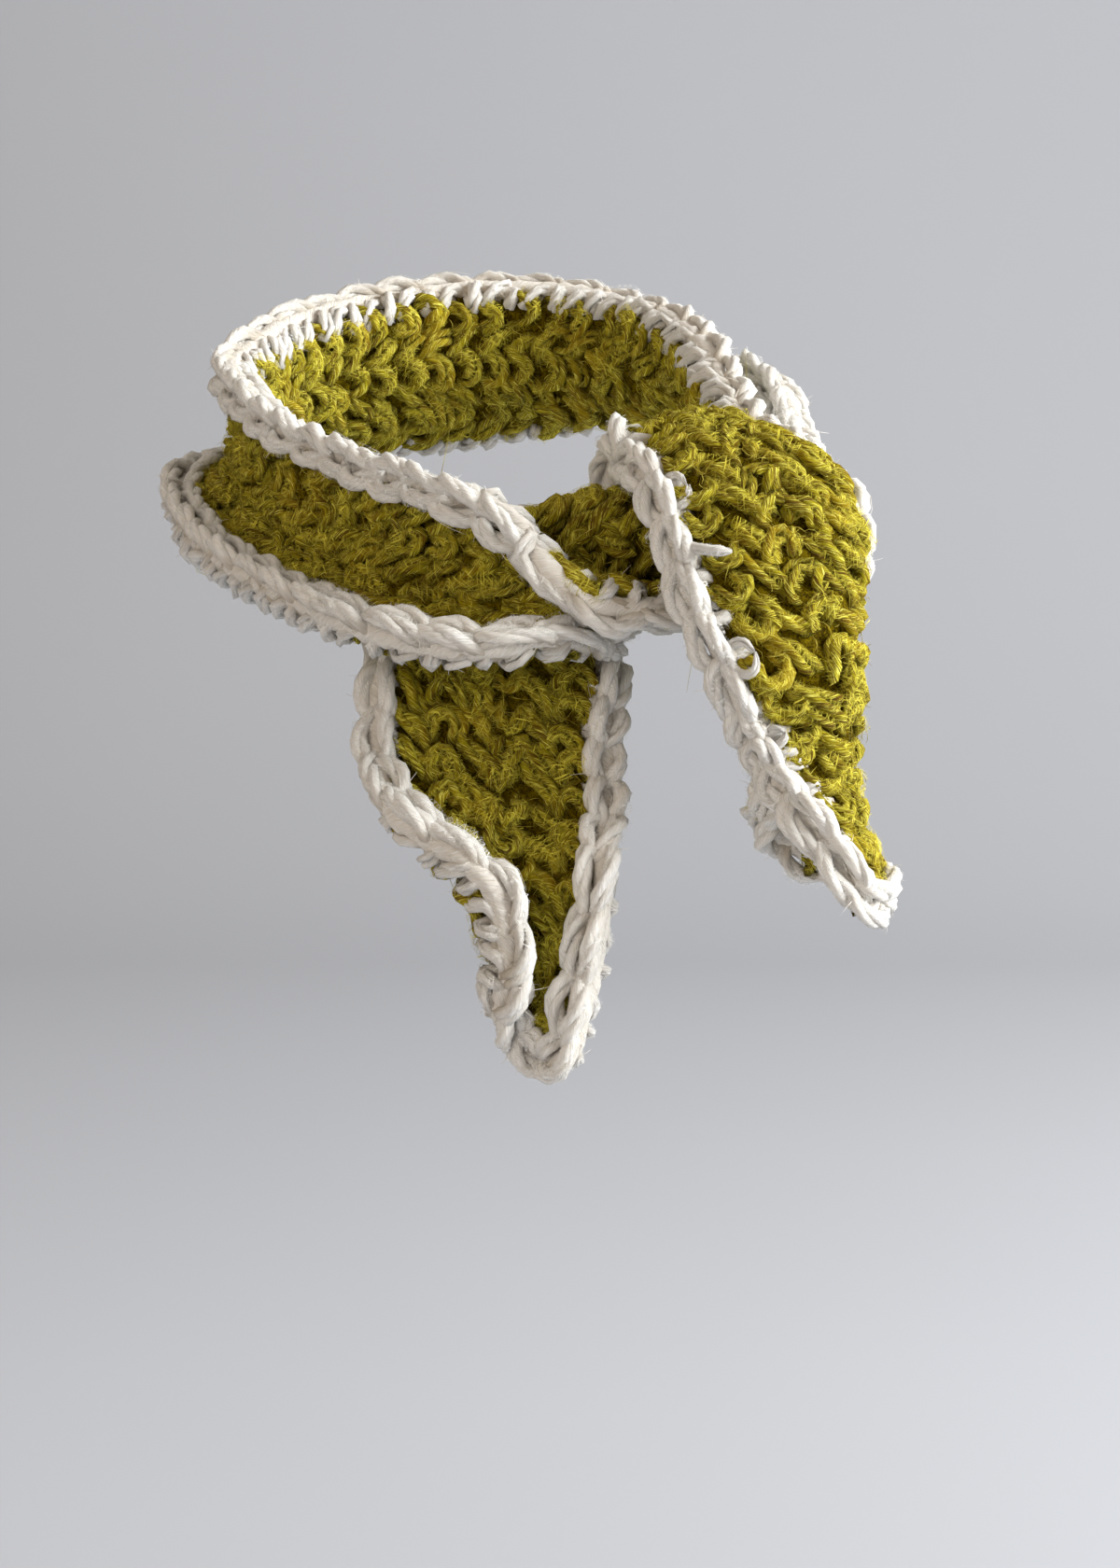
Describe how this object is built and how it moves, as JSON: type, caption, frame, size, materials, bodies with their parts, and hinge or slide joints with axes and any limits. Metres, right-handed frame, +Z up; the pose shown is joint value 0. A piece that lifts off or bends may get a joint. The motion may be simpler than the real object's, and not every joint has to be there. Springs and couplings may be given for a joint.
{
  "type": "crochet neckerchief",
  "caption": "Crochet neckerchief worn with a half knot: a ribbed woollen strip with a chain-stitch edging goes round the neck and ends in pointed tails.",
  "frame": {"origin": "on the axis of the neck that the neckerchief goes round, level with the middle of the band", "axes": "+Z up along the neck, -Y toward the front where the knot and the tails are, +X toward the wearer's left"},
  "size_m": [0.1573, 0.1797, 0.1699],
  "materials": {
    "green_yarn": "matte, fuzzy",
    "white_yarn": "matte, fuzzy"
  },
  "bodies": {
    "root": {"green_panel": "green_yarn", "white_edging": "white_yarn"}
  },
  "joints": []
}
